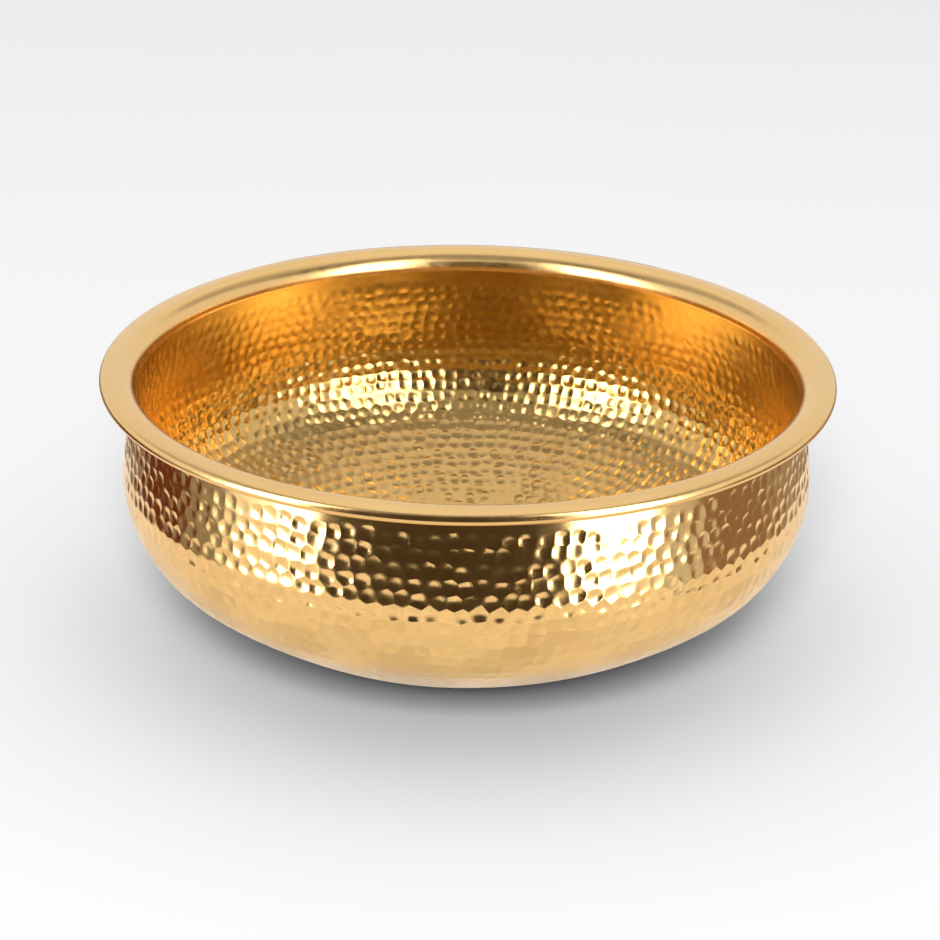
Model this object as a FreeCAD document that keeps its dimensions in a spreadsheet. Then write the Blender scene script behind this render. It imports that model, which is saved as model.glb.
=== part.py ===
import FreeCAD, Part
import math
import os

import Sketcher

# Hammered brass urli bowl: a wide, low, open bowl with a smooth flared lip.
#
# Four pieces, all rings or shells about the Z axis:
#   bowl_body   the raised and hammered sheet bowl, whose neck opens into a short flared seat
#   rim_collar  the spun lip: a short skirt in the neck, a flare, a domed top and a rolled edge
#   rim_wire    the stiffening wire that the lip's edge is rolled around
#   braze_seam  the fillet of braze that joins the collar to the seat, under the lip
#
# The origin is the centre of the flat base. Z is up. Every sketch is a half section in the XZ
# plane, with the radius along its first axis and the level above the base along its second.

FULL_TURN = 360.0
OUT_FOLDER = "parts"
SHEET_NAME = "Sizes"
SIZE_TOLERANCE = 0.01
OVERLAP_TOLERANCE = 0.001

# the sketcher's names for the points of an item, and the sketch's own origin
START = 1
END = 2
CENTRE = 3
ORIGIN = (-1, 1)

# alias, millimetres or degrees, what it measures
DRIVING_SIZES = (
    ("rim_diameter", 260.0, "outside diameter, over the rolled edge"),
    ("overall_height", 100.0, "base to the crest of the lip"),
    ("throat_radius", 117.0, "inside radius of the collar's skirt, the narrowest opening"),
    ("belly_radius", 122.8, "largest outside radius of the body"),
    ("belly_level", 61.0, "level of the largest radius"),
    ("belly_arc", 40.0, "outside section radius of the belly"),
    ("lower_arc", 200.0, "outside section radius between belly and base"),
    ("base_radius", 50.0, "radius of the flat base"),
    ("base_blend", 15.0, "outside section radius where the base turns up"),
    ("body_sheet", 1.2, "sheet thickness of the body"),
    ("collar_sheet", 1.0, "sheet thickness of the collar"),
    ("flare_arc", 7.0, "section radius of the flare, on its visible face"),
    ("dome_arc", 20.0, "section radius of the lip's slightly domed top"),
    ("bead_radius", 2.0, "section radius of the rolled edge"),
    ("bead_end_angle", 170.0, "where the rolled edge stops, from outward, over the top"),
    ("skirt_drop", 0.9, "how far the skirt reaches below the start of the flare"),
    ("seat_angle", 45.0, "how far the body's seat follows the flare"),
    ("lap_gap", 0.1, "capillary gap of the brazed lap"),
    ("braze_leg", 1.1, "width of the braze fillet on the seat's edge"),
    ("braze_reach", 12.0, "angle that the braze fillet covers under the flare"),
    ("wire_radius", 0.95, "radius of the rim wire, a free fit in the rolled edge"),
)
SIZE = {alias: value for alias, value, meaning in DRIVING_SIZES}


# ---------------------------------------------------------------- plane geometry for first guesses

def polar(centre, radius, degrees):
    """The point at a distance and direction from a centre."""
    turn = math.radians(degrees)
    return (centre[0] + radius * math.cos(turn), centre[1] + radius * math.sin(turn))


def heading(start, end):
    """The direction from one point to another, in degrees."""
    return math.degrees(math.atan2(end[1] - start[1], end[0] - start[0]))


def nesting_centre(centre_a, radius_a, centre_b, radius_b, radius):
    """The centre of the large circle that two smaller ones lie inside and touch, on the axis side."""
    reach_a = radius - radius_a
    reach_b = radius - radius_b
    apart = math.dist(centre_a, centre_b)
    along = (reach_a ** 2 - reach_b ** 2 + apart ** 2) / (2.0 * apart)
    off = math.sqrt(reach_a ** 2 - along ** 2)
    direction = heading(centre_a, centre_b)
    foot = polar(centre_a, along, direction)
    return polar(foot, off, direction + 90.0)


def crossing_tangent_heading(centre_a, radius_a, centre_b, radius_b):
    """The normal, seen from centre_a, of the straight line that passes between two circles."""
    spread = math.degrees(math.acos((radius_a + radius_b) / math.dist(centre_a, centre_b)))
    return heading(centre_a, centre_b) - spread


# ---------------------------------------------------------------- sketches bound to the sheet

def vector(point):
    return FreeCAD.Vector(point[0], point[1], 0.0)


def new_body(doc, label):
    body = doc.addObject("PartDesign::Body", label)
    body.Label = label
    body.Placement = FreeCAD.Placement()
    return body


def new_section(body):
    """An empty half-section sketch on the body's own XZ plane."""
    sketch = body.newObject("Sketcher::SketchObject", body.Label + "_section")
    plane = [item for item in body.Origin.OriginFeatures if item.Role == "XZ_Plane"][0]
    sketch.AttachmentSupport = [(plane, "")]
    sketch.MapMode = "FlatFace"
    return sketch


def add_line(sketch, start, end):
    return sketch.addGeometry(Part.LineSegment(vector(start), vector(end)), False)


def add_arc(sketch, centre, radius, start_degrees, end_degrees):
    """An arc drawn counter-clockwise: START is its first end and END its last."""
    circle = Part.Circle(vector(centre), FreeCAD.Vector(0, 0, 1), radius)
    arc = Part.ArcOfCircle(circle, math.radians(start_degrees), math.radians(end_degrees))
    return sketch.addGeometry(arc, False)


def relate(sketch, kind, *items):
    sketch.addConstraint(Sketcher.Constraint(kind, *items))


def bind(sketch, name, formula, value, kind, *items):
    """A named dimension that starts at value and follows a formula of the sheet's cells."""
    index = sketch.addConstraint(Sketcher.Constraint(kind, *items, value))
    sketch.renameConstraint(index, name)
    sketch.setExpression("Constraints." + name, formula)


def bind_radius(sketch, name, formula, arc):
    bind(sketch, name, formula, sketch.Geometry[arc].Radius, "Radius", arc)


def bind_point(sketch, name, radius_formula, level_formula, item, point):
    """Fixes a point of an item by its radius from the Z axis and its level above the base."""
    place = sketch.getPoint(item, point)
    bind(sketch, name + "_radius", radius_formula, place.x, "DistanceX", *ORIGIN, item, point)
    bind(sketch, name + "_level", level_formula, place.y, "DistanceY", *ORIGIN, item, point)


def revolve(body, sketch):
    """Turns a half section once round the Z axis."""
    turned = body.newObject("PartDesign::Revolution", body.Label + "_turned")
    turned.Profile = sketch
    turned.ReferenceAxis = (sketch, ["V_Axis"])
    turned.Angle = FULL_TURN
    body.Tip = turned


# ---------------------------------------------------------------- formulas that several pieces share

FLARE_CENTRE_RADIUS = "Sizes.throat_radius + Sizes.flare_arc"
FLARE_CENTRE_LEVEL = "Sizes.overall_height - Sizes.flare_arc"
FLARE_UNDERSIDE = "Sizes.flare_arc - Sizes.collar_sheet"
SEAT_INSIDE = FLARE_UNDERSIDE + " - Sizes.lap_gap"
SEAT_OUTSIDE = SEAT_INSIDE + " - Sizes.body_sheet"
BEAD_CENTRE_RADIUS = "Sizes.rim_diameter / 2 - Sizes.bead_radius"
BEAD_RUN_OUT = BEAD_CENTRE_RADIUS + " - Sizes.throat_radius - Sizes.flare_arc"
BEAD_REACH = "Sizes.dome_arc - Sizes.bead_radius"
BEAD_CENTRE_LEVEL = (
    "Sizes.overall_height - Sizes.dome_arc"
    " + sqrt(pow(" + BEAD_REACH + "; 2) - pow(" + BEAD_RUN_OUT + "; 2))"
)

FLARE_CENTRE = (
    SIZE["throat_radius"] + SIZE["flare_arc"],
    SIZE["overall_height"] - SIZE["flare_arc"],
)
DOME_CENTRE = (FLARE_CENTRE[0], SIZE["overall_height"] - SIZE["dome_arc"])
BEAD_RUN = SIZE["rim_diameter"] / 2 - SIZE["bead_radius"] - DOME_CENTRE[0]
BEAD_RISE = math.sqrt((SIZE["dome_arc"] - SIZE["bead_radius"]) ** 2 - BEAD_RUN ** 2)
BEAD_CENTRE = (DOME_CENTRE[0] + BEAD_RUN, DOME_CENTRE[1] + BEAD_RISE)


# ---------------------------------------------------------------- bowl_body

def add_body_face(sketch, face, depth, minus_sheet):
    """One face of the body's sheet, from the axis to the seat's end, depth inside the outer face.

    Returns the base line and the seat's arc, the two ends of the chain.
    """
    belly_centre = (SIZE["belly_radius"] - SIZE["belly_arc"], SIZE["belly_level"])
    blend_centre = (SIZE["base_radius"], SIZE["base_blend"])
    lower_centre = nesting_centre(
        blend_centre, SIZE["base_blend"], belly_centre, SIZE["belly_arc"], SIZE["lower_arc"]
    )
    seat_inside = SIZE["flare_arc"] - SIZE["collar_sheet"] - SIZE["lap_gap"]
    seat_radius = seat_inside - SIZE["body_sheet"] + depth
    belly_radius = SIZE["belly_arc"] - depth
    base_turn = heading(lower_centre, blend_centre)
    belly_turn = heading(lower_centre, belly_centre)
    lean = crossing_tangent_heading(belly_centre, belly_radius, FLARE_CENTRE, seat_radius)
    seat_end = 180.0 - SIZE["seat_angle"]

    base = add_line(sketch, (0.0, depth), (SIZE["base_radius"], depth))
    blend = add_arc(sketch, blend_centre, SIZE["base_blend"] - depth, -90.0, base_turn)
    lower = add_arc(sketch, lower_centre, SIZE["lower_arc"] - depth, base_turn, belly_turn)
    belly = add_arc(sketch, belly_centre, belly_radius, belly_turn, lean)
    belly_top = polar(belly_centre, belly_radius, lean)
    seat_foot = polar(FLARE_CENTRE, seat_radius, 180.0 + lean)
    shoulder = add_line(sketch, belly_top, seat_foot)
    seat = add_arc(sketch, FLARE_CENTRE, seat_radius, seat_end, 180.0 + lean)

    relate(sketch, "Horizontal", base)
    relate(sketch, "Tangent", base, END, blend, START)
    relate(sketch, "Tangent", blend, END, lower, START)
    relate(sketch, "Tangent", lower, END, belly, START)
    relate(sketch, "Tangent", belly, END, shoulder, START)
    relate(sketch, "Tangent", shoulder, END, seat, END)
    bind(sketch, face + "_base", "Sizes.base_radius", SIZE["base_radius"],
         "DistanceX", *ORIGIN, base, END)
    bind_radius(sketch, face + "_blend", "Sizes.base_blend" + minus_sheet, blend)
    bind_radius(sketch, face + "_lower", "Sizes.lower_arc" + minus_sheet, lower)
    bind_radius(sketch, face + "_belly", "Sizes.belly_arc" + minus_sheet, belly)
    bind_point(sketch, face + "_belly_centre", "Sizes.belly_radius - Sizes.belly_arc",
               "Sizes.belly_level", belly, CENTRE)
    bind_point(sketch, face + "_seat_centre", FLARE_CENTRE_RADIUS, FLARE_CENTRE_LEVEL,
               seat, CENTRE)
    return base, seat


def make_bowl_body(doc):
    """The hammered bowl: flat base, long lower curve, belly, shoulder and the collar's seat."""
    body = new_body(doc, "bowl_body")
    sketch = new_section(body)
    sheet = SIZE["body_sheet"]
    outer_base, outer_seat = add_body_face(sketch, "outer", 0.0, "")
    inner_base, inner_seat = add_body_face(sketch, "inner", sheet, " - Sizes.body_sheet")
    axis_edge = add_line(sketch, (0.0, sheet), (0.0, 0.0))
    outer_end = sketch.getPoint(outer_seat, START)
    inner_end = sketch.getPoint(inner_seat, START)
    seat_edge = add_line(sketch, outer_end, inner_end)

    relate(sketch, "Coincident", outer_base, START, *ORIGIN)
    relate(sketch, "Coincident", axis_edge, END, outer_base, START)
    relate(sketch, "Coincident", axis_edge, START, inner_base, START)
    relate(sketch, "Vertical", axis_edge)
    bind(sketch, "floor_sheet", "Sizes.body_sheet", sheet,
         "DistanceY", outer_base, START, inner_base, START)
    bind_radius(sketch, "seat_outside", SEAT_OUTSIDE, outer_seat)
    bind_radius(sketch, "seat_inside", SEAT_INSIDE, inner_seat)
    relate(sketch, "Coincident", seat_edge, START, outer_seat, START)
    relate(sketch, "Coincident", seat_edge, END, inner_seat, START)
    relate(sketch, "PointOnObject", outer_seat, CENTRE, seat_edge)
    bind(sketch, "seat_direction", "(180 - Sizes.seat_angle) * 1 deg",
         math.radians(180.0 - SIZE["seat_angle"]), "Angle", seat_edge)
    revolve(body, sketch)
    return body


# ---------------------------------------------------------------- rim_collar

def add_collar_face(sketch, face, depth, minus_sheet):
    """One face of the collar's sheet, from the skirt to the end of the rolled edge.

    Returns the skirt's line and the bead's arc, the two ends of the chain.
    """
    flare_radius = SIZE["flare_arc"] - depth
    skirt_radius = FLARE_CENTRE[0] - flare_radius
    skirt_foot = FLARE_CENTRE[1] - SIZE["skirt_drop"] + SIZE["collar_sheet"] / 2
    dome_end = heading(DOME_CENTRE, BEAD_CENTRE)
    bead_end = SIZE["bead_end_angle"] - FULL_TURN

    skirt = add_line(sketch, (skirt_radius, skirt_foot), (skirt_radius, FLARE_CENTRE[1]))
    flare = add_arc(sketch, FLARE_CENTRE, flare_radius, 90.0, 180.0)
    dome = add_arc(sketch, DOME_CENTRE, SIZE["dome_arc"] - depth, dome_end, 90.0)
    bead = add_arc(sketch, BEAD_CENTRE, SIZE["bead_radius"] - depth, bead_end, dome_end)

    relate(sketch, "Vertical", skirt)
    relate(sketch, "Tangent", skirt, END, flare, END)
    relate(sketch, "Tangent", flare, START, dome, END)
    relate(sketch, "Tangent", dome, START, bead, END)
    bind_radius(sketch, face + "_flare", "Sizes.flare_arc" + minus_sheet, flare)
    bind_radius(sketch, face + "_dome", "Sizes.dome_arc" + minus_sheet, dome)
    bind_radius(sketch, face + "_bead", "Sizes.bead_radius" + minus_sheet, bead)
    bind_point(sketch, face + "_flare_centre", FLARE_CENTRE_RADIUS, FLARE_CENTRE_LEVEL,
               flare, CENTRE)
    bind_point(sketch, face + "_bead_centre", BEAD_CENTRE_RADIUS, BEAD_CENTRE_LEVEL,
               bead, CENTRE)
    return skirt, bead


def make_rim_collar(doc):
    """The spun lip: skirt with a rounded foot, flare, domed top and an edge rolled round a wire."""
    body = new_body(doc, "rim_collar")
    sketch = new_section(body)
    sheet = SIZE["collar_sheet"]
    top_skirt, top_bead = add_collar_face(sketch, "top", 0.0, "")
    under_skirt, under_bead = add_collar_face(sketch, "under", sheet, " - Sizes.collar_sheet")
    foot_centre = (
        SIZE["throat_radius"] + sheet / 2,
        FLARE_CENTRE[1] - SIZE["skirt_drop"] + sheet / 2,
    )
    foot = add_arc(sketch, foot_centre, sheet / 2, 180.0, FULL_TURN)
    outer_end = sketch.getPoint(top_bead, START)
    inner_end = sketch.getPoint(under_bead, START)
    bead_edge = add_line(sketch, inner_end, outer_end)

    relate(sketch, "Tangent", top_skirt, START, foot, START)
    relate(sketch, "Tangent", under_skirt, START, foot, END)
    bind(sketch, "skirt_foot", FLARE_CENTRE_LEVEL + " - Sizes.skirt_drop + Sizes.collar_sheet / 2",
         foot_centre[1], "DistanceY", *ORIGIN, foot, CENTRE)
    relate(sketch, "Coincident", bead_edge, START, under_bead, START)
    relate(sketch, "Coincident", bead_edge, END, top_bead, START)
    relate(sketch, "PointOnObject", top_bead, CENTRE, bead_edge)
    bind(sketch, "bead_end", "Sizes.bead_end_angle * 1 deg",
         math.radians(SIZE["bead_end_angle"]), "Angle", bead_edge)
    revolve(body, sketch)
    return body


# ---------------------------------------------------------------- rim_wire

def make_rim_wire(doc):
    """The plain wire ring inside the rolled edge."""
    wire = doc.addObject("Part::Torus", "rim_wire")
    wire.Label = "rim_wire"
    wire.setExpression("Radius1", BEAD_CENTRE_RADIUS)
    wire.setExpression("Radius2", "Sizes.wire_radius")
    wire.setExpression("Placement.Base.z", BEAD_CENTRE_LEVEL)
    return wire


# ---------------------------------------------------------------- braze_seam

def make_braze_seam(doc):
    """The fillet of filler metal in the corner of the seat's edge and the flare's underside."""
    body = new_body(doc, "braze_seam")
    sketch = new_section(body)
    flare_radius = SIZE["flare_arc"] - SIZE["collar_sheet"]
    seat_end = 180.0 - SIZE["seat_angle"]
    fillet_end = seat_end - SIZE["braze_reach"]
    corner = polar(FLARE_CENTRE, flare_radius, seat_end)
    toe_on_seat = polar(FLARE_CENTRE, flare_radius - SIZE["braze_leg"], seat_end)
    toe_on_flare = polar(FLARE_CENTRE, flare_radius, fillet_end)

    against_flare = add_arc(sketch, FLARE_CENTRE, flare_radius, fillet_end, seat_end)
    against_seat = add_line(sketch, toe_on_seat, corner)
    free_face = add_line(sketch, toe_on_flare, toe_on_seat)

    bind_point(sketch, "flare_centre", FLARE_CENTRE_RADIUS, FLARE_CENTRE_LEVEL,
               against_flare, CENTRE)
    bind_radius(sketch, "underside", FLARE_UNDERSIDE, against_flare)
    relate(sketch, "Coincident", against_seat, END, against_flare, END)
    relate(sketch, "Coincident", free_face, START, against_flare, START)
    relate(sketch, "Coincident", free_face, END, against_seat, START)
    relate(sketch, "PointOnObject", against_flare, CENTRE, against_seat)
    bind(sketch, "seat_direction", "(180 - Sizes.seat_angle) * 1 deg", math.radians(seat_end),
         "Angle", against_seat)
    bind(sketch, "leg", "Sizes.braze_leg", SIZE["braze_leg"],
         "Distance", against_seat, START, against_seat, END)
    reach = math.dist(corner, toe_on_flare)
    bind(sketch, "reach", "2 * (" + FLARE_UNDERSIDE + ") * sin(Sizes.braze_reach / 2 * 1 deg)",
         reach, "Distance", against_flare, START, against_flare, END)
    revolve(body, sketch)
    return body


# ---------------------------------------------------------------- document, checks and files

def make_sheet(doc):
    """The spreadsheet of driving sizes, one row each: name, value, meaning."""
    sheet = doc.addObject("Spreadsheet::Sheet", SHEET_NAME)
    for row, (alias, value, meaning) in enumerate(DRIVING_SIZES, start=1):
        sheet.set("A%d" % row, alias)
        sheet.set("B%d" % row, str(value))
        sheet.set("C%d" % row, meaning)
        sheet.setAlias("B%d" % row, alias)
    return sheet


def check_document(doc, pieces):
    """Stops on any failed object, loose sketch or bad shape."""
    for item in doc.Objects:
        if "Invalid" in item.State or "Error" in item.State:
            raise RuntimeError(item.Name + " failed: " + str(item.State))
        if item.TypeId == "Sketcher::SketchObject" and not item.FullyConstrained:
            raise RuntimeError(item.Name + " isn't fully constrained")
    for piece in pieces:
        if piece.Shape.isNull() or not piece.Shape.isValid():
            raise RuntimeError(piece.Label + " has no valid shape")
        if len(piece.Shape.Solids) != 1:
            raise RuntimeError(piece.Label + " isn't one solid")


def check_sizes(pieces):
    """Stops if the whole isn't as wide and tall as the sheet says, or if two pieces overlap."""
    whole = Part.makeCompound([piece.Shape for piece in pieces]).optimalBoundingBox(False)
    for length, wanted in (
        (whole.XLength, SIZE["rim_diameter"]),
        (whole.YLength, SIZE["rim_diameter"]),
        (whole.ZLength, SIZE["overall_height"]),
    ):
        if abs(length - wanted) > SIZE_TOLERANCE:
            raise RuntimeError("the bowl measures %.3f, not %.3f" % (length, wanted))
    for index, piece in enumerate(pieces):
        for other in pieces[index + 1:]:
            shared = piece.Shape.common(other.Shape).Volume
            if shared > OVERLAP_TOLERANCE:
                raise RuntimeError("%s and %s overlap" % (piece.Label, other.Label))


def main():
    doc = FreeCAD.newDocument("urli_bowl")
    make_sheet(doc)
    pieces = [
        make_bowl_body(doc),
        make_rim_collar(doc),
        make_rim_wire(doc),
        make_braze_seam(doc),
    ]
    doc.recompute()
    check_document(doc, pieces)
    check_sizes(pieces)
    os.makedirs(OUT_FOLDER, exist_ok=True)
    for piece in pieces:
        piece.Shape.exportStep(os.path.join(OUT_FOLDER, piece.Label + ".step"))
        print("%-12s %10.1f mm3" % (piece.Label, piece.Shape.Volume))


main()
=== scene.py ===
import math
import random

import bpy
import numpy as np
from mathutils import Matrix, Vector
from mathutils.geometry import delaunay_2d_cdt


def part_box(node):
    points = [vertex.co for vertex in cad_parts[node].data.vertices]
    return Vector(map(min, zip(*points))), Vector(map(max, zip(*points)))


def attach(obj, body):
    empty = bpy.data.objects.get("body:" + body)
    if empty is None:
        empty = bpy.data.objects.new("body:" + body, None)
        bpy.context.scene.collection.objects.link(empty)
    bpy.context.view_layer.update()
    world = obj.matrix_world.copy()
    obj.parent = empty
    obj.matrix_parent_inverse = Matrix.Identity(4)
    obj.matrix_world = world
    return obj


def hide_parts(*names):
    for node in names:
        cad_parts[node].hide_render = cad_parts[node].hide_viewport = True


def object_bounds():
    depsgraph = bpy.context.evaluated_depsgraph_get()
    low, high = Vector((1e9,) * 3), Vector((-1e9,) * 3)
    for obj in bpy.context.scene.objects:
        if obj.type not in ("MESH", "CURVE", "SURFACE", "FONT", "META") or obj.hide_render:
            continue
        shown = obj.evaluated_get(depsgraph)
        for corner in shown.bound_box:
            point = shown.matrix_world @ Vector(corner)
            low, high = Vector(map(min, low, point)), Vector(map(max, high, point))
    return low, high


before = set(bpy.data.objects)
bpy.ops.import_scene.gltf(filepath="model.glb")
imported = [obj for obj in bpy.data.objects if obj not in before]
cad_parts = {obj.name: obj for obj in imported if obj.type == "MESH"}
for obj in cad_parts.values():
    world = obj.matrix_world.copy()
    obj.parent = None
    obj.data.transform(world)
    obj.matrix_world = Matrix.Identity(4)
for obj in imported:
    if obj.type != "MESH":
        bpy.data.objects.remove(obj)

# Looks of a hammered brass urli bowl, built around its CAD frame.
#
# The hammered body and the spun collar are rebuilt as fine meshes on the CAD's own half section.
# The rim wire and the braze seam stay as the CAD made them and get better materials.
# Everything is in metres, +Z up, with the origin at the centre of the base and the front at -Y.

cad_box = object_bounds()
MM = 0.001
SEED = 26

# ---------------------------------------------------------------- the CAD's half section

RIM_RADIUS = cad_box[1].x
HEIGHT = cad_box[1].z
BASE_RADIUS = 50 * MM
BASE_BLEND = 15 * MM
LOWER_ARC = 200 * MM
BELLY_ARC = 40 * MM
BELLY_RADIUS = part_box("bowl_body")[1].x
BELLY_LEVEL = 61 * MM
BODY_SHEET = 1.2 * MM
COLLAR_SHEET = 1.0 * MM
LAP_GAP = 0.1 * MM
FLARE_ARC = 7 * MM
DOME_ARC = 20 * MM
BEAD_RADIUS = 2 * MM
BEAD_END = 170.0
SEAT_END = 135.0
SKIRT_DROP = 0.9 * MM
THROAT_RADIUS = 117 * MM

FLARE_CENTRE = (THROAT_RADIUS + FLARE_ARC, HEIGHT - FLARE_ARC)
DOME_CENTRE = (FLARE_CENTRE[0], HEIGHT - DOME_ARC)
BEAD_OFFSET = RIM_RADIUS - BEAD_RADIUS - DOME_CENTRE[0]
BEAD_RISE = math.sqrt((DOME_ARC - BEAD_RADIUS) ** 2 - BEAD_OFFSET ** 2)
BEAD_CENTRE = (RIM_RADIUS - BEAD_RADIUS, DOME_CENTRE[1] + BEAD_RISE)
BELLY_CENTRE = (BELLY_RADIUS - BELLY_ARC, BELLY_LEVEL)
BLEND_CENTRE = (BASE_RADIUS, BASE_BLEND)
SEAT_ARC = FLARE_ARC - COLLAR_SHEET - LAP_GAP - BODY_SHEET

# ---------------------------------------------------------------- the hammer marks

# for each face of the sheet: distance between marks and between rows, reach and depth of a mark.
# the depths are tuned until the contrast looks like the photo's, and aren't measured
OUTSIDE_MARKS = {"pitch": 5.7 * MM, "row": 5.0 * MM, "reach": 2.9 * MM, "depth": 0.34 * MM}
INSIDE_MARKS = {"pitch": 4.8 * MM, "row": 4.25 * MM, "reach": 2.45 * MM, "depth": 0.32 * MM}
TOP_ROW_LEVEL = 85.6 * MM
# how far the marks stray from even rows, as shares of their spacing
PLACE_JITTER = 0.16
ROW_SWAY = 0.10
# how much single marks differ in depth, reach and lean
DEPTH_RANGE = (0.55, 1.45)
REACH_RANGE = (0.92, 1.08)
MARK_SKEW = 0.05
# how finely the ridges between marks are divided
EDGE_STEP = 1.4 * MM
MOST_EDGE_STEPS = 5
# levels over which the outside marks deepen, and over which the inside marks get shallower
OUTSIDE_BASE_LEVELS = (0.0, 30 * MM)
OUTSIDE_BELLY_LEVELS = (52 * MM, 58 * MM)
INSIDE_NECK_LEVELS = (56 * MM, 76 * MM)
# where the two rings of points inside a mark lie, and how late its floor bends up to the ridge
RING_SHARES = (0.55, 0.93)
RIDGE_POWER = 6
# the smooth neck band above the marks
GUARD_COUNT = 188
GUARD_OFFSET = 0.7 * MM
NECK_ROWS = 10

# slow waves round the bowl: count, phase, and how much of the full height each one has.
# the swirls turn the waves as they run down the wall
WAVE_HEIGHT = 0.10 * MM
WAVES = ((3, 0.7, 1.0), (5, 2.1, 0.8), (8, 4.0, 0.6))
WAVE_SWIRLS = (30, -45, 70)
WAVE_RISE_RUNS = (55 * MM, 85 * MM)
WAVE_FALL_LEVELS = (80 * MM, 90 * MM)
LIP_WAVE = 0.06 * MM
LIP_WAVES = ((4, 0.6, 1.0), (9, 2.0, 0.7), (17, 1.1, 0.45))

# ---------------------------------------------------------------- the collar and its mesh

COLLAR_COLUMNS = 720
COLLAR_STEP = 0.4 * MM
BEAD_STEP = 0.25 * MM
SHARP_ANGLE = 55

# ---------------------------------------------------------------- the camera and the stage

CAMERA_DISTANCE = 1.0
CAMERA_ELEVATION = 23.7
CAMERA_ROLL = 0.89
CAMERA_LENS = 106.2
CAMERA_TARGET = (0.0012, 0.0, 0.0582)
WORLD_GLOW = 0.85
KEY_POWER = 187.0
TOP_POWER = 12.0
FLOOR_REACH = 4.0
FLOOR_TONE = 0.645
FLOOR_VARIATION = 1.01

# cards that only the metal mirrors, placed and toned to match the photo's reflections
CARD_FOOT = 0.002
FRONT_DISTANCE = 0.275
DARK_TOP = 0.40
DARK_LEFT = -0.243
DARK_RIGHT = 0.145
SOFTBOX_LEFT = -0.65
SOFTBOX_RIGHT = 0.405
SOFTBOX_TOP = 0.74
SOFTBOX_FADE_LEVEL = 0.34
SOFTBOX_GLOW = 8.5
SOFTBOX_TOP_GLOW = 0.5
RING_DISTANCE = 0.25
RING_TOP = 0.092
CEILING_LEVEL = 1.2
CEILING_HALF_WIDTH = 1.3
CEILING_FRONT = -1.0
BOUNCE_LEVEL = 0.0004
BOUNCE_INNER = 0.054
BOUNCE_OUTER = 0.34
BOUNCE_SIDES = 48

# ---------------------------------------------------------------- the brass

TURNED_LINES_PER_METRE = 3500.0
TURNED_LINES_DRIFT = (9.0, 9.0, 0.0)
# painted shade: the colour the inside darkens to on its upper wall under the lip, between these two
# levels
NECK_PAINTED_SHADE = (0.63, 0.425, 0.14)
NECK_SHADE_LEVELS = (0.030, 0.058)


def polar(centre, radius, degrees):
    turn = math.radians(degrees)
    return (centre[0] + radius * math.cos(turn), centre[1] + radius * math.sin(turn))


def heading(start, end):
    return math.degrees(math.atan2(end[1] - start[1], end[0] - start[0]))


def nesting_centre(centre_a, radius_a, centre_b, radius_b, radius):
    """The centre of the large circle that two smaller ones lie inside and touch."""
    reach_a = radius - radius_a
    reach_b = radius - radius_b
    apart = math.dist(centre_a, centre_b)
    along = (reach_a ** 2 - reach_b ** 2 + apart ** 2) / (2 * apart)
    off = math.sqrt(reach_a ** 2 - along ** 2)
    direction = heading(centre_a, centre_b)
    return polar(polar(centre_a, along, direction), off, direction + 90)


def arc(centre, radius, start, end, step, side=1.0):
    """Points (r, z) along an arc, with normals away from its centre, or to it if side is -1."""
    count = max(3, math.ceil(abs(math.radians(end - start)) * radius / step))
    turns = np.radians(np.linspace(start, end, count + 1))
    spokes = np.stack([np.cos(turns), np.sin(turns)], axis=1)
    return np.hstack([np.array(centre) + radius * spokes, side * spokes])


def line(start, end, step):
    """Points (r, z) along a line, with normals to its right."""
    count = max(2, math.ceil(math.dist(start, end) / step))
    points = np.linspace(start, end, count + 1)
    run = np.array(end) - np.array(start)
    normal = np.array([run[1], -run[0]]) / math.dist(start, end)
    return np.hstack([points, np.tile(normal, (count + 1, 1))])


def body_outline():
    """The body's outer half section: rows of run length, r, z, normal r and normal z."""
    step = 0.05 * MM
    lower_centre = nesting_centre(BLEND_CENTRE, BASE_BLEND, BELLY_CENTRE, BELLY_ARC, LOWER_ARC)
    base_turn = heading(lower_centre, BLEND_CENTRE)
    belly_turn = heading(lower_centre, BELLY_CENTRE)
    apart = math.dist(BELLY_CENTRE, FLARE_CENTRE)
    spread = math.degrees(math.acos((BELLY_ARC + SEAT_ARC) / apart))
    shoulder_turn = heading(BELLY_CENTRE, FLARE_CENTRE) - spread
    shoulder_foot = polar(BELLY_CENTRE, BELLY_ARC, shoulder_turn)
    shoulder_head = polar(FLARE_CENTRE, SEAT_ARC, shoulder_turn + 180)
    pieces = [
        line((0, 0), (BASE_RADIUS, 0), step),
        arc(BLEND_CENTRE, BASE_BLEND, -90, base_turn, step),
        arc(lower_centre, LOWER_ARC, base_turn, belly_turn, step),
        arc(BELLY_CENTRE, BELLY_ARC, belly_turn, shoulder_turn, step),
        line(shoulder_foot, shoulder_head, step),
        arc(FLARE_CENTRE, SEAT_ARC, shoulder_turn + 180, SEAT_END, step, side=-1.0),
    ]
    rows = np.vstack([pieces[0]] + [piece[1:] for piece in pieces[1:]])
    runs = np.hypot(np.diff(rows[:, 0]), np.diff(rows[:, 1]))
    return np.column_stack([np.concatenate([[0], np.cumsum(runs)]), rows])


OUTLINE = body_outline()
OUTLINE_RUN = OUTLINE[:, 0]
OUTLINE_END = OUTLINE_RUN[-1]


def outline_at(run):
    """Radius, level and normal of the outer half section at a run length from the axis."""
    return [np.interp(run, OUTLINE_RUN, OUTLINE[:, column]) for column in range(1, 5)]


def run_at_level(level):
    """The run length where the outline, past the base, reaches a level."""
    past = OUTLINE_RUN > BASE_RADIUS
    return float(np.interp(level, OUTLINE[past, 2], OUTLINE_RUN[past]))


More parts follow.
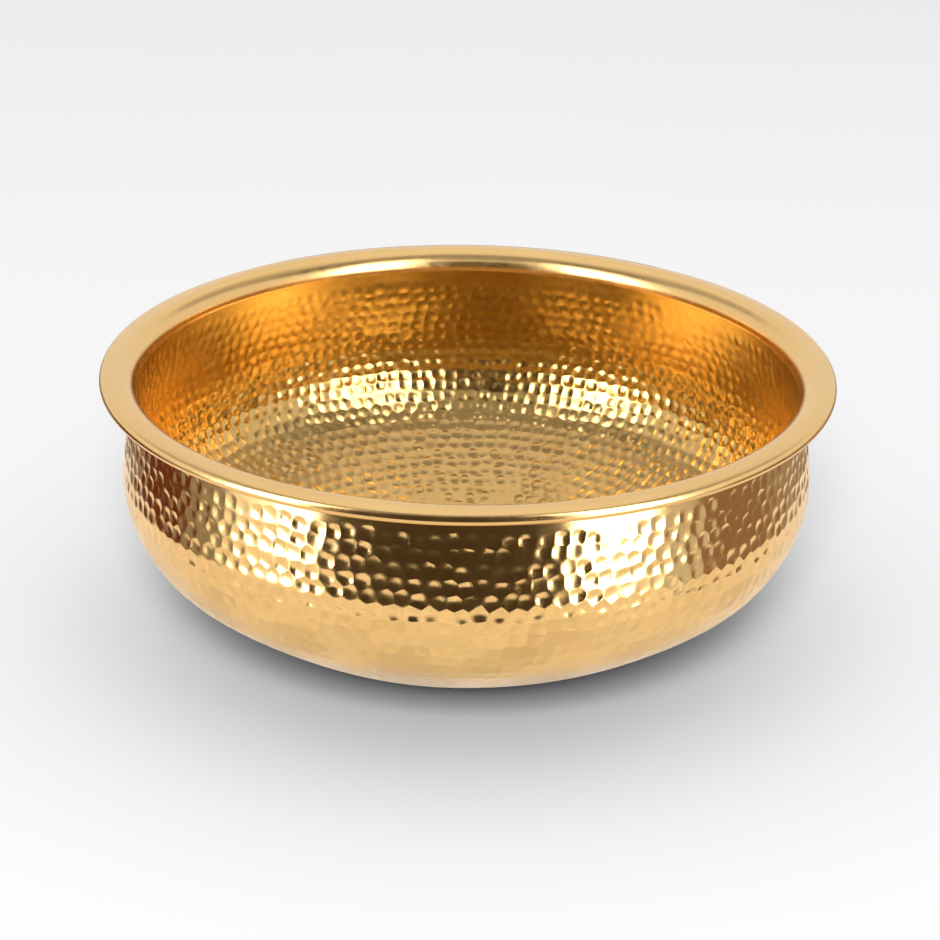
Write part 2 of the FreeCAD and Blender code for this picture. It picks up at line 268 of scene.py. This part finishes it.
def unrolled_radius():
    """Log radius of a flat disc that the outline unrolls to without changing any angle."""
    radius = np.maximum(OUTLINE[:, 1], 0.01 * MM)
    middle = 0.5 * (1 / radius[1:] + 1 / radius[:-1])
    logs = np.concatenate([[0], np.cumsum(middle * np.diff(OUTLINE_RUN))])
    base = np.searchsorted(OUTLINE_RUN, 20 * MM)
    logs = logs - logs[base] + math.log(radius[base])
    logs[:base] = np.log(radius[:base])
    return logs


UNROLLED = unrolled_radius()


def to_disc(run, turn):
    """Places on the flat disc for points given by run length and turn."""
    radius = np.exp(np.interp(run, OUTLINE_RUN, UNROLLED))
    return np.stack([radius * np.cos(turn), radius * np.sin(turn)], axis=-1)


def from_disc(place):
    """Run length and turn for places on the flat disc."""
    radius = np.maximum(np.hypot(place[:, 0], place[:, 1]), 1e-6)
    run = np.interp(np.log(radius), UNROLLED, OUTLINE_RUN)
    return run, np.arctan2(place[:, 1], place[:, 0])


# ---------------------------------------------------------------- hammered body

def mark_seeds(rng, marks):
    """Run length and turn of every mark's middle, in staggered rows from the axis to the neck."""
    top_run = run_at_level(TOP_ROW_LEVEL)
    row_count = round(top_run / marks["row"])
    runs = [0.0]
    turns = [0.0]
    for row in range(1, row_count + 1):
        row_run = top_run * row / row_count
        radius = outline_at(row_run)[0]
        count = max(6, round(2 * math.pi * radius / marks["pitch"]))
        start = rng.random() * 2 * math.pi
        drift = rng.random() * 2 * math.pi
        for index in range(count):
            turn = start + 2 * math.pi * (index + rng.uniform(-PLACE_JITTER, PLACE_JITTER)) / count
            sway = ROW_SWAY * math.sin(3 * turn + drift) + rng.uniform(-PLACE_JITTER, PLACE_JITTER)
            runs.append(row_run + sway * marks["row"])
            turns.append(turn)
    return np.array(runs), np.array(turns)


def guard_seeds():
    """Two matched rows of plain cells in the smooth band, whose shared edge is a clean circle."""
    circle_run = run_at_level(FLARE_CENTRE[1] - SKIRT_DROP)
    turns = np.arange(GUARD_COUNT) * 2 * math.pi / GUARD_COUNT
    runs = np.repeat([circle_run - GUARD_OFFSET, circle_run + GUARD_OFFSET], GUARD_COUNT)
    return runs, np.concatenate([turns, turns])


class CellSheet:
    """The unrolled sheet divided into one cell for each mark, with the points that cells share."""

    def __init__(self, seeds, last_cell):
        self.seeds = seeds
        self.places = []
        self.owners = []
        self.corner_ids = {}
        self.loops = {}
        self.divide(last_cell)

    def corner(self, place):
        """The id of a corner, the same for every cell that meets there."""
        key = (round(place[0] * 1e7), round(place[1] * 1e7))
        if key not in self.corner_ids:
            self.corner_ids[key] = len(self.places)
            self.places.append(place)
            self.owners.append(set())
        return self.corner_ids[key]

    def divide(self, last_cell):
        """Voronoi cells. Each corner is the centre of a circle through three neighbouring seeds."""
        points = [Vector(place) for place in self.seeds.tolist()]
        result = delaunay_2d_cdt(points, [], [], 0, 1e-9)
        source = [ids[0] for ids in result[3]]
        around = {}
        for face in result[2]:
            ids = [source[index] for index in face]
            centre = circumcentre(*[self.seeds[index] for index in ids])
            for a, b in zip(ids, ids[1:] + ids[:1]):
                around[(a, b)] = centre
        edges = {}
        for (a, b), centre in around.items():
            if a < b and (b, a) in around and min(a, b) < last_cell:
                edges[(a, b)] = self.edge_points(centre, around[(b, a)], a, b)
        chains = {}
        for (a, b), chain in edges.items():
            if len(chain) > 1:
                chains.setdefault(a, []).append(chain[::-1])
                chains.setdefault(b, []).append(chain)
        for seed in range(last_cell):
            self.loops[seed] = join_chains(chains[seed])
        self.edges = edges

    def edge_points(self, start, end, a, b):
        """Ids of the points along the edge between cells a and b."""
        first = self.corner(start)
        last = self.corner(end)
        ids = [first]
        if first != last:
            middle = 0.5 * (start + end)
            scale = outline_at(from_disc(middle[None])[0])[0][0] / math.hypot(*middle)
            length = math.dist(start, end) * scale
            count = min(MOST_EDGE_STEPS, max(1, round(length / EDGE_STEP)))
            for step in range(1, count):
                ids.append(len(self.places))
                self.places.append(start + (end - start) * step / count)
                self.owners.append(set())
            ids.append(last)
        for index in ids:
            self.owners[index].update((a, b))
        return ids


def circumcentre(a, b, c):
    """The centre of the circle through three points."""
    b = b - a
    c = c - a
    cross = 2 * (b[0] * c[1] - b[1] * c[0])
    bb = b @ b
    cc = c @ c
    return a + np.array([c[1] * bb - b[1] * cc, b[0] * cc - c[0] * bb]) / cross


def join_chains(chains):
    """One closed loop of point ids from the chains between a cell's corners."""
    following = {chain[0]: chain for chain in chains}
    start = chains[0][0]
    loop = []
    here = start
    while True:
        chain = following[here]
        loop.extend(chain[:-1])
        here = chain[-1]
        if here == start:
            return loop


def mark_shapes(rng, marks, count):
    """Depth, reach and skew of every mark. The plain cells of the smooth band have no depth."""
    shapes = np.zeros((count + 2 * GUARD_COUNT, 4))
    for index in range(count):
        shapes[index, 0] = marks["depth"] * rng.uniform(*DEPTH_RANGE)
        shapes[index, 1] = marks["reach"] * rng.uniform(*REACH_RANGE)
        shapes[index, 2] = rng.uniform(-1, 1) * MARK_SKEW
        shapes[index, 3] = rng.uniform(-1, 1) * MARK_SKEW
    shapes[count:, 1] = marks["reach"]
    return shapes


def plain_point(run, turn):
    """Points on the smooth outer face."""
    radius, level, _, _ = outline_at(run)
    return np.stack([radius * np.cos(turn), radius * np.sin(turn), level], axis=-1)


class MarkedSheet:
    """Run length, turn and mark height of every point of the hammered sheet, and its faces."""

    def __init__(self, rng, marks):
        runs, turns = mark_seeds(rng, marks)
        guard_runs, guard_turns = guard_seeds()
        self.mark_count = len(runs)
        self.seed_run = np.concatenate([runs, guard_runs])
        self.seed_turn = np.concatenate([turns, guard_turns])
        self.last_cell = self.mark_count + GUARD_COUNT
        self.shapes = mark_shapes(rng, marks, self.mark_count)
        self.seed_point = plain_point(self.seed_run, self.seed_turn)
        self.cells = CellSheet(to_disc(self.seed_run, self.seed_turn), self.last_cell)
        self.faces = []
        self.run, self.turn = from_disc(np.array(self.cells.places))
        self.height = self.shared_heights()
        self.fill_cells()
        self.add_neck()

    def cap(self, seed, run, turn):
        """Height of one mark's bowl-shaped floor at some points; negative is into the sheet."""
        depth, reach, skew_run, skew_turn = self.shapes[seed]
        offset = plain_point(run, turn) - self.seed_point[seed]
        spread = np.einsum("ij,ij->i", offset, offset) / reach ** 2
        lean_run = (run - self.seed_run[seed]) * skew_run
        side = np.array([-math.sin(self.seed_turn[seed]), math.cos(self.seed_turn[seed]), 0])
        lean_turn = offset @ side * skew_turn
        return -(depth + lean_run + lean_turn) * np.clip(1 - spread, 0, None)

    def shared_heights(self):
        """Between cells the height is the mean of the marks that meet there."""
        total = np.zeros(len(self.run))
        count = np.zeros(len(self.run))
        members = {}
        for index, owners in enumerate(self.cells.owners):
            for seed in owners:
                members.setdefault(seed, []).append(index)
        for seed, indices in members.items():
            total[indices] += self.cap(seed, self.run[indices], self.turn[indices])
            count[indices] += 1
        return total / count

    def fill_cells(self):
        """A middle point and two rings inside each cell, joined to its outline."""
        places = np.array(self.cells.places)
        shared = len(places)
        runs = [self.run]
        turns = [self.turn]
        heights = [self.height]
        for seed in range(self.last_cell):
            loop = np.array(self.cells.loops[seed])
            middle = self.cells.seeds[seed]
            spokes = places[loop] - middle
            reach = self.shapes[seed, 1]
            length = np.linalg.norm(
                plain_point(self.run[loop], self.turn[loop]) - self.seed_point[seed], axis=1)
            inside = np.minimum(length, reach / RING_SHARES[-1]) / length
            step_up = self.height[loop] - self.cap(seed, self.run[loop], self.turn[loop])
            size = len(loop)
            ring_ids = []
            for share in RING_SHARES:
                part = share * inside
                run, turn = from_disc(middle + spokes * part[:, None])
                runs.append(run)
                turns.append(turn)
                heights.append(self.cap(seed, run, turn) + step_up * part ** RIDGE_POWER)
                ring_ids.append(np.arange(shared, shared + size))
                shared += size
            runs.append(self.seed_run[seed:seed + 1])
            turns.append(self.seed_turn[seed:seed + 1])
            heights.append(-self.shapes[seed, :1])
            self.faces.extend(fan(shared, ring_ids[0]))
            self.faces.extend(band(ring_ids[0], ring_ids[1]))
            self.faces.extend(band(ring_ids[1], loop))
            shared += 1
        self.run = np.concatenate(runs)
        self.turn = np.concatenate(turns)
        self.height = np.concatenate(heights)

    def add_neck(self):
        """Plain rows from the smooth circle up to the end of the seat."""
        circle = set()
        for index in range(self.mark_count, self.last_cell):
            circle.update(self.cells.edges[(index, index + GUARD_COUNT)])
        below = np.array(sorted(circle, key=lambda point: self.turn[point]))
        turns = self.turn[below]
        rows = np.linspace(self.run[below].mean(), OUTLINE_END, NECK_ROWS + 1)[1:]
        shared = len(self.run)
        for row in rows:
            above = np.arange(shared, shared + len(below))
            self.run = np.concatenate([self.run, np.full(len(below), row)])
            self.turn = np.concatenate([self.turn, turns])
            self.height = np.concatenate([self.height, np.zeros(len(below))])
            self.faces.extend(band(below, above))
            below = above
            shared += len(above)
        self.edge = below


def fan(middle, ring):
    """Triangles from a middle point to a closed loop."""
    ring = ring.tolist()
    return [(middle, a, b) for a, b in zip(ring, ring[1:] + ring[:1])]


def band(inner, outer):
    """Quads between two closed loops of the same length."""
    inner = inner.tolist()
    outer = outer.tolist()
    following = zip(inner[1:] + inner[:1], outer[1:] + outer[:1])
    return [(a, b, d, c) for (a, b), (c, d) in zip(zip(inner, outer), following)]


def smooth_step(value, low, high):
    """0 below low, 1 above high and an even curve between them."""
    share = np.clip((value - low) / (high - low), 0, 1)
    return share * share * (3 - 2 * share)


def hand_waves(run, turn):
    """The slow unevenness of a bowl raised by hand, none at the base or the neck."""
    level = outline_at(run)[1]
    fade = smooth_step(run, *WAVE_RISE_RUNS) * (1 - smooth_step(level, *WAVE_FALL_LEVELS))
    waves = sum(
        share * np.sin(count * turn + phase + swirl * run)
        for (count, phase, share), swirl in zip(WAVES, WAVE_SWIRLS))
    return WAVE_HEIGHT * fade * waves


def sheet_face(sheet, face_offset, strength):
    """Points of one face of the sheet, face_offset inside the outer half section."""
    radius, level, normal_r, normal_z = outline_at(sheet.run)
    out = sheet.height * strength + hand_waves(sheet.run, sheet.turn) - face_offset
    radius = radius + normal_r * out
    height = level + normal_z * out
    return np.stack([radius * np.cos(sheet.turn), radius * np.sin(sheet.turn), height], axis=1)


def outside_strength(sheet):
    """The marks are full from the belly up, and planished down towards the base."""
    level = outline_at(sheet.run)[1]
    middle = smooth_step(level, *OUTSIDE_BASE_LEVELS)
    strong = smooth_step(level, *OUTSIDE_BELLY_LEVELS)
    return 0.24 + 0.56 * middle + 0.20 * strong


def inside_strength(sheet):
    """Inside, the marks are crisp on the floor and lower wall, and fade up to the neck."""
    level = outline_at(sheet.run)[1]
    return 1.0 - 0.50 * smooth_step(level, *INSIDE_NECK_LEVELS)


def new_piece(name, points, faces, material):
    """A smooth-shaded mesh object, sharp only where its faces turn steeply."""
    mesh = bpy.data.meshes.new(name)
    mesh.from_pydata(points.tolist(), [], faces)
    mesh.shade_smooth()
    mesh.set_sharp_from_angle(angle=math.radians(SHARP_ANGLE))
    mesh.materials.append(material)
    piece = bpy.data.objects.new(name, mesh)
    bpy.context.scene.collection.objects.link(piece)
    return piece


def paint_faces(piece, material, first):
    """Gives a second material to every face from one face on."""
    piece.data.materials.append(material)
    slots = np.zeros(len(piece.data.polygons), dtype=np.int32)
    slots[first:] = 1
    piece.data.polygons.foreach_set("material_index", slots)


def make_body():
    """Two marked faces, a sheet's thickness apart, that meet at the end of the seat."""
    rng = random.Random(SEED)
    outer = MarkedSheet(rng, OUTSIDE_MARKS)
    inner = MarkedSheet(rng, INSIDE_MARKS)
    inside = sheet_face(inner, BODY_SHEET, inside_strength(inner))
    outside = sheet_face(outer, 0.0, outside_strength(outer))
    count = len(inside)
    faces = list(inner.faces)
    faces.extend(tuple(index + count for index in face[::-1]) for face in outer.faces)
    faces.extend(band(inner.edge, outer.edge + count))
    piece = new_piece(
        "hammered_body", np.vstack([inside, outside]), faces, inside_brass_painted_shade())
    paint_faces(piece, outside_brass(), len(inner.faces))
    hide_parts("bowl_body")
    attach(piece, "root")


# ---------------------------------------------------------------- spun collar

def collar_outline():
    """The collar's closed half section, from the skirt's foot up the visible face and back."""
    foot_radius = COLLAR_SHEET / 2
    foot_centre = (THROAT_RADIUS + foot_radius, FLARE_CENTRE[1] - SKIRT_DROP + foot_radius)
    tip_turn = heading(DOME_CENTRE, BEAD_CENTRE)
    curl_end = BEAD_END - 360
    curl_inside = BEAD_RADIUS - COLLAR_SHEET
    curl_tip = polar(BEAD_CENTRE, BEAD_RADIUS - COLLAR_SHEET / 2, curl_end)
    pieces = [
        arc(FLARE_CENTRE, FLARE_ARC, 180, 90, COLLAR_STEP),
        arc(DOME_CENTRE, DOME_ARC, 90, tip_turn, COLLAR_STEP),
        arc(BEAD_CENTRE, BEAD_RADIUS, tip_turn, curl_end, BEAD_STEP),
        arc(curl_tip, COLLAR_SHEET / 2, curl_end, curl_end - 180, BEAD_STEP),
        arc(BEAD_CENTRE, curl_inside, curl_end, tip_turn, BEAD_STEP),
        arc(DOME_CENTRE, DOME_ARC - COLLAR_SHEET, tip_turn, 90, COLLAR_STEP),
        arc(FLARE_CENTRE, FLARE_ARC - COLLAR_SHEET, 90, 180, COLLAR_STEP),
        arc(foot_centre, foot_radius, 0, -180, BEAD_STEP),
    ]
    points = np.vstack(pieces)[:, :2]
    apart = np.hypot(*(points - np.roll(points, 1, axis=0)).T)
    return points[apart > 0.01 * MM]


def lip_drop(turn):
    """How far the waves lower the lip's edge at a turn. They never raise it past its height."""
    waves = sum(share * math.sin(count * turn + phase) for count, phase, share in LIP_WAVES)
    return LIP_WAVE * (waves - sum(share for _, _, share in LIP_WAVES))


def make_collar():
    """The collar's section turned round the axis, with slight waves along the lip's edge."""
    outline = collar_outline()
    radius = outline[:, 0]
    reach = smooth_step(radius, FLARE_CENTRE[0] - 3 * MM, RIM_RADIUS)
    rings = []
    for turn in np.arange(COLLAR_COLUMNS) * 2 * math.pi / COLLAR_COLUMNS:
        level = outline[:, 1] + lip_drop(turn) * reach
        rings.append(np.stack([radius * math.cos(turn), radius * math.sin(turn), level], axis=1))
    points = np.vstack(rings)
    size = len(outline)
    faces = []
    for column in range(COLLAR_COLUMNS):
        here = np.arange(size) + column * size
        there = np.arange(size) + (column + 1) % COLLAR_COLUMNS * size
        faces.extend(band(here, there))
    piece = new_piece("spun_collar", points, faces, polished_brass())
    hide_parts("rim_collar")
    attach(piece, "root")


# ---------------------------------------------------------------- materials

def add_node(tree, kind, inputs=None, **settings):
    """A new node, with its settings and with its inputs set or joined to other nodes."""
    made = tree.nodes.new(kind)
    for name, value in settings.items():
        setattr(made, name, value)
    for name, value in (inputs or {}).items():
        if isinstance(value, bpy.types.NodeSocket):
            tree.links.new(value, made.inputs[name])
        else:
            made.inputs[name].default_value = value
    return made


def new_material(name):
    """A material with nodes, its tree and its shader."""
    material = bpy.data.materials.new(name)
    material.use_nodes = True
    tree = material.node_tree
    return material, tree, tree.nodes["Principled BSDF"]


def mixed_colour(tree, share, first, second):
    """Mixes two colours, each given as three numbers or as another node's output."""
    mix = add_node(tree, "ShaderNodeMix", {"Factor": share}, data_type="RGBA")
    # a mix has several sockets called A, B and Result, one for each kind of value
    sockets = {socket.name: socket for socket in mix.inputs if socket.type == "RGBA"}
    for name, colour in (("A", first), ("B", second)):
        if isinstance(colour, bpy.types.NodeSocket):
            tree.links.new(colour, sockets[name])
        else:
            sockets[name].default_value = (*colour, 1)
    return [socket for socket in mix.outputs if socket.type == "RGBA"][0]


def object_place(tree):
    """The point's own coordinates, which don't depend on the view."""
    return add_node(tree, "ShaderNodeTexCoord").outputs["Object"]


def object_axis(tree, axis):
    """One of the point's own coordinates."""
    return add_node(tree, "ShaderNodeSeparateXYZ", {"Vector": object_place(tree)}).outputs[axis]


def combined(tree, operation, first, second):
    """The result of a sum or a product of two values."""
    return add_node(tree, "ShaderNodeMath", {0: first, 1: second}, operation=operation).outputs[0]


def add_bump(tree, shader, height, strength, distance):
    bump = add_node(tree, "ShaderNodeBump", {
        "Height": height, "Strength": strength, "Distance": distance})
    tree.links.new(bump.outputs["Normal"], shader.inputs["Normal"])


def ranged(tree, value, low, high, new_low, new_high):
    """Maps low..high to new_low..new_high, and holds the end values outside it."""
    made = add_node(tree, "ShaderNodeMapRange", {
        "Value": value, "From Min": low, "From Max": high, "To Min": new_low, "To Max": new_high})
    return made.outputs["Result"]


def noise(tree, place, scale, detail=2.0, roughness=0.5):
    """Soft random values from 0 to 1."""
    made = add_node(tree, "ShaderNodeTexNoise", {
        "Vector": place, "Scale": scale, "Detail": detail, "Roughness": roughness})
    return made.outputs["Fac"]


def brass_base(name, clean, tarnished, tarnish_share, rough_low, rough_high):
    """Clean brass with patches of slight tarnish and uneven polish."""
    material, tree, shader = new_material(name)
    place = object_place(tree)
    patches = noise(tree, place, 22.0, detail=4.0, roughness=0.6)
    tone = ranged(tree, patches, 0.35, 0.75, 0.0, tarnish_share)
    tree.links.new(mixed_colour(tree, tone, clean, tarnished), shader.inputs["Base Color"])
    polish = noise(tree, place, 160.0, detail=5.0, roughness=0.65)
    rough = ranged(tree, polish, 0.3, 0.7, rough_low, rough_high)
    tree.links.new(rough, shader.inputs["Roughness"])
    shader.inputs["Metallic"].default_value = 1.0
    return material, tree, shader, place


def hammered_brass(name, clean, tarnished, rough_low, rough_high):
    """Brass with a fine grain, for the struck faces."""
    material, tree, shader, place = brass_base(
        name, clean, tarnished, 0.6, rough_low, rough_high)
    grain = noise(tree, place, 1500.0, detail=3.0, roughness=0.7)
    add_bump(tree, shader, grain, 0.25, 0.03 * MM)
    return material, tree, shader


def outside_brass():
    material, _, _ = hammered_brass(
        "hammered_brass_outside", (0.93, 0.62, 0.26), (0.85, 0.53, 0.20), 0.12, 0.20)
    return material


def inside_brass_painted_shade():
    """Painted shade: darker than the outside, and darker still up to the neck under the lip, tuned
    to match the photo's tones.
    """
    # colours darker than the outside's: painted shade of the bowl's inside
    material, tree, shader = hammered_brass(
        "hammered_brass_inside_painted_shade", (0.75, 0.475, 0.175), (0.69, 0.41, 0.135), 0.16, 0.25)
    bright = shader.inputs["Base Color"].links[0].from_socket
    # painted shade: darker from the lower wall up to the neck
    share = ranged(tree, object_axis(tree, "Z"), *NECK_SHADE_LEVELS, 0.0, 1.0)
    tree.links.new(mixed_colour(tree, share, bright, NECK_PAINTED_SHADE), shader.inputs["Base Color"])
    return material


def turned_lines(tree, place):
    """Fine lines round the axis, from noise that changes quickly with radius and level."""
    split = add_node(tree, "ShaderNodeSeparateXYZ", {"Vector": place})
    flat = add_node(tree, "ShaderNodeCombineXYZ", {
        "X": split.outputs["X"], "Y": split.outputs["Y"]})
    radius = add_node(tree, "ShaderNodeVectorMath", {0: flat.outputs[0]}, operation="LENGTH")
    across = combined(tree, "MULTIPLY", radius.outputs["Value"], TURNED_LINES_PER_METRE)
    up = combined(tree, "MULTIPLY", split.outputs["Z"], TURNED_LINES_PER_METRE)
    slow = add_node(tree, "ShaderNodeVectorMath", {
        0: flat.outputs[0], 1: TURNED_LINES_DRIFT}, operation="MULTIPLY")
    lines = add_node(tree, "ShaderNodeCombineXYZ", {"X": across, "Y": up})
    joined = add_node(tree, "ShaderNodeVectorMath", {
        0: lines.outputs[0], 1: slow.outputs[0]}, operation="ADD")
    return noise(tree, joined.outputs[0], 1.0, detail=2.0)


def polished_brass():
    """The collar's brass, polished on a lathe."""
    material, tree, shader, place = brass_base(
        "polished_brass", (0.93, 0.61, 0.25), (0.86, 0.52, 0.19), 0.5, 0.18, 0.27)
    add_bump(tree, shader, turned_lines(tree, place), 0.3, 0.03 * MM)
    return material


def wire_brass():
    """The wire's brass. It is hidden in the photo, so its dull look is a guess."""
    material, tree, shader, place = brass_base(
        "drawn_brass_wire", (0.86, 0.58, 0.25), (0.62, 0.36, 0.14), 0.6, 0.25, 0.38)
    add_bump(tree, shader, noise(tree, place, 900.0, detail=2.0), 0.3, 0.04 * MM)
    return material


def braze_brass():
    """The filler's paler, lumpy brass. It is hidden in the photo, so this is a guess."""
    material, tree, shader, place = brass_base(
        "braze_filler", (0.88, 0.62, 0.32), (0.60, 0.38, 0.18), 0.7, 0.28, 0.42)
    add_bump(tree, shader, noise(tree, place, 350.0, detail=3.0), 0.6, 0.2 * MM)
    return material


def paint_node(name, material):
    """Puts a better material on a CAD node that stays in view."""
    for material_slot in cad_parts[name].material_slots:
        material_slot.material = material


# ---------------------------------------------------------------- stage

def flat_card(name, corners, material):
    """A flat face that isn't part of the bowl."""
    mesh = bpy.data.meshes.new(name)
    mesh.from_pydata(corners, [], [tuple(range(len(corners)))])
    mesh.materials.append(material)
    card = bpy.data.objects.new(name, mesh)
    bpy.context.scene.collection.objects.link(card)
    return card


def glowing(name, colour, strength, shade=None):
    """A card's own light. shade, if given, makes the strength from the card's own points."""
    material = bpy.data.materials.new(name)
    material.use_nodes = True
    tree = material.node_tree
    tree.nodes.clear()
    glow = add_node(tree, "ShaderNodeEmission", {"Color": (*colour, 1), "Strength": strength})
    if shade:
        tree.links.new(shade(tree), glow.inputs["Strength"])
    end = add_node(tree, "ShaderNodeOutputMaterial")
    tree.links.new(glow.outputs[0], end.inputs["Surface"])
    return material


def only_reflected(card):
    """The card shows in reflections and nowhere else."""
    card.visible_camera = False
    card.visible_diffuse = False
    card.visible_shadow = False
    card.visible_transmission = False
    card.visible_volume_scatter = False
    return card


def reflected_card(name, corners, colour, strength, shade=None):
    only_reflected(flat_card(name, corners, glowing(name, colour, strength, shade)))


def front_card(name, left, right, top, colour, strength, shade=None):
    """An upright card in front of the bowl."""
    corners = [
        (left, -FRONT_DISTANCE, CARD_FOOT), (right, -FRONT_DISTANCE, CARD_FOOT),
        (right, -FRONT_DISTANCE, top), (left, -FRONT_DISTANCE, top)]
    reflected_card(name, corners, colour, strength, shade)


def softbox(name, left, right, colour):
    """A tall bright card beside the dark one."""
    front_card(name, left, right, SOFTBOX_TOP, colour, SOFTBOX_GLOW, softbox_shade)


def ring_card(name, start, end, colour, strength):
    """A low upright card beside the bowl, between two directions in degrees from the front."""
    turns = np.radians(np.linspace(start, end, 5))
    foot = [(RING_DISTANCE * math.sin(turn), -RING_DISTANCE * math.cos(turn)) for turn in turns]
    for index, (a, b) in enumerate(zip(foot, foot[1:])):
        corners = [(*a, CARD_FOOT), (*b, CARD_FOOT), (*b, RING_TOP), (*a, RING_TOP)]
        reflected_card(f"{name}_{index}", corners, colour, strength)


def ceiling_shade(tree):
    """Grey above the front of the bowl, brighter towards the back and darker to both sides."""
    along = ranged(tree, object_axis(tree, "Y"), -0.15, 0.12, 0.32, 0.92)
    side = add_node(tree, "ShaderNodeMath", {0: object_axis(tree, "X")}, operation="ABSOLUTE")
    across = ranged(tree, side.outputs[0], 0.38, 0.72, 1.0, 0.50)
    return combined(tree, "MULTIPLY", along, across)


def softbox_shade(tree):
    """Bright low down, and fading out towards the softbox's top edge."""
    level = object_axis(tree, "Z")
    return ranged(
        tree, level, SOFTBOX_FADE_LEVEL, SOFTBOX_TOP, SOFTBOX_GLOW, SOFTBOX_TOP_GLOW)


def make_ceiling():
    half = CEILING_HALF_WIDTH
    corners = [
        (-half, CEILING_FRONT, CEILING_LEVEL), (half, CEILING_FRONT, CEILING_LEVEL),
        (half, half, CEILING_LEVEL), (-half, half, CEILING_LEVEL)]
    reflected_card("grey_ceiling", corners, (1, 1, 1), 1.0, ceiling_shade)


def bounce_shade(tree):
    """Less bright near the base, with soft patches that let the shallow lower marks show."""
    place = object_place(tree)
    radius = add_node(tree, "ShaderNodeVectorMath", {0: place}, operation="LENGTH")
    glow = ranged(tree, radius.outputs["Value"], 0.050, 0.240, 0.70, 1.02)
    patches = ranged(tree, noise(tree, place, 24.0, detail=1.0), 0.35, 0.65, -0.11, 0.09)
    return combined(tree, "ADD", glow, patches)


def make_floor_bounce():
    """A lit ring on the floor that only the metal sees, in place of the shadowed floor."""
    turns = np.arange(BOUNCE_SIDES) * 2 * math.pi / BOUNCE_SIDES
    points = [
        (radius * math.cos(turn), radius * math.sin(turn), BOUNCE_LEVEL)
        for radius in (BOUNCE_INNER, BOUNCE_OUTER) for turn in turns]
    inner = np.arange(BOUNCE_SIDES)
    mesh = bpy.data.meshes.new("floor_bounce")
    mesh.from_pydata(points, [], band(inner, inner + BOUNCE_SIDES))
    mesh.materials.append(glowing("floor_bounce", (1.0, 0.93, 0.85), 1.0, bounce_shade))
    ring = bpy.data.objects.new("floor_bounce", mesh)
    bpy.context.scene.collection.objects.link(ring)
    only_reflected(ring)


def make_floor():
    """A pale, matt floor with a barely uneven tone."""
    material, tree, shader = new_material("pale_floor")
    share = ranged(tree, noise(tree, object_place(tree), 3.0), 0.3, 0.7, 0.0, 1.0)
    darker = (FLOOR_TONE,) * 3
    lighter = (FLOOR_TONE * FLOOR_VARIATION,) * 3
    tree.links.new(mixed_colour(tree, share, darker, lighter), shader.inputs["Base Color"])
    shader.inputs["Roughness"].default_value = 0.9
    shader.inputs["Specular IOR Level"].default_value = 0.0
    reach = FLOOR_REACH
    corners = [(-reach, -reach, 0), (reach, -reach, 0), (reach, reach, 0), (-reach, reach, 0)]
    flat_card("floor", corners, material)


def add_lamp(name, place, size, power):
    """A square lamp aimed at the bowl, which lights the floor and isn't reflected."""
    light = bpy.data.lights.new(name, "AREA")
    light.size = size
    light.energy = power
    lamp = bpy.data.objects.new(name, light)
    lamp.location = place
    lamp.rotation_euler = (-lamp.location).to_track_quat("-Z", "Y").to_euler()
    lamp.visible_glossy = False
    bpy.context.scene.collection.objects.link(lamp)


def make_lights():
    """An even white world, a key lamp in front and a weaker lamp above."""
    world = bpy.data.worlds.new("studio")
    world.use_nodes = True
    background = world.node_tree.nodes["Background"]
    background.inputs["Color"].default_value = (1, 1, 1, 1)
    background.inputs["Strength"].default_value = WORLD_GLOW
    bpy.context.scene.world = world
    add_lamp("key", (-0.10, -3.6, 2.6), 1.4, KEY_POWER)
    add_lamp("top", (0.0, 0.0, 3.0), 1.6, TOP_POWER)


def make_reflections():
    """What the metal mirrors: a dark front between two softboxes, and a low ring of cards."""
    front_card("dark_front", DARK_LEFT, DARK_RIGHT, DARK_TOP, (0.55, 0.40, 0.25), 0.10)
    softbox("softbox_left", SOFTBOX_LEFT, DARK_LEFT, (1, 1, 1))
    softbox("softbox_right", DARK_RIGHT, SOFTBOX_RIGHT, (0.82, 0.82, 0.82))
    ring_card("left_grey", -79, -64, (0.28, 0.26, 0.24), 1.0)
    ring_card("left_red", -103, -79, (0.13, 0.03, 0.015), 1.0)
    ring_card("left_tan", -135, -103, (0.28, 0.23, 0.20), 1.0)
    ring_card("left_rear_light", -160, -135, (1, 0.97, 0.95), 0.8)
    ring_card("rear_dark", 160, 200, (0.5, 0.42, 0.34), 0.25)
    ring_card("right_grey", 49, 62, (0.6, 0.6, 0.6), 1.0)
    ring_card("right_pink", 62, 91, (0.28, 0.18, 0.13), 1.0)
    ring_card("right_brown", 91, 135, (0.36, 0.30, 0.24), 1.0)
    ring_card("right_rear_light", 135, 160, (1, 0.97, 0.95), 0.8)


def make_camera():
    """The camera at the photo's angle, with the photo's slight roll."""
    lens = bpy.data.cameras.new("camera")
    lens.sensor_width = 36.0
    lens.lens = CAMERA_LENS
    lens.dof.use_dof = False
    camera = bpy.data.objects.new("camera", lens)
    tilt = math.radians(CAMERA_ELEVATION)
    away = Vector((0, -math.cos(tilt), math.sin(tilt))) * CAMERA_DISTANCE
    roll = Matrix.Rotation(math.radians(CAMERA_ROLL), 4, "Z")
    turned = Matrix.Rotation(math.pi / 2 - tilt, 4, "X") @ roll
    camera.matrix_world = Matrix.Translation(Vector(CAMERA_TARGET) + away) @ turned
    bpy.context.scene.collection.objects.link(camera)
    bpy.context.scene.camera = camera


make_camera()
make_floor()
make_lights()
make_reflections()
make_ceiling()
make_floor_bounce()
make_body()
make_collar()
paint_node("rim_wire", wire_brass())
paint_node("braze_seam", braze_brass())

bpy.context.scene.cycles.caustics_reflective = False
view = bpy.context.scene.view_settings
view.view_transform = "Standard"
view.look = "None"
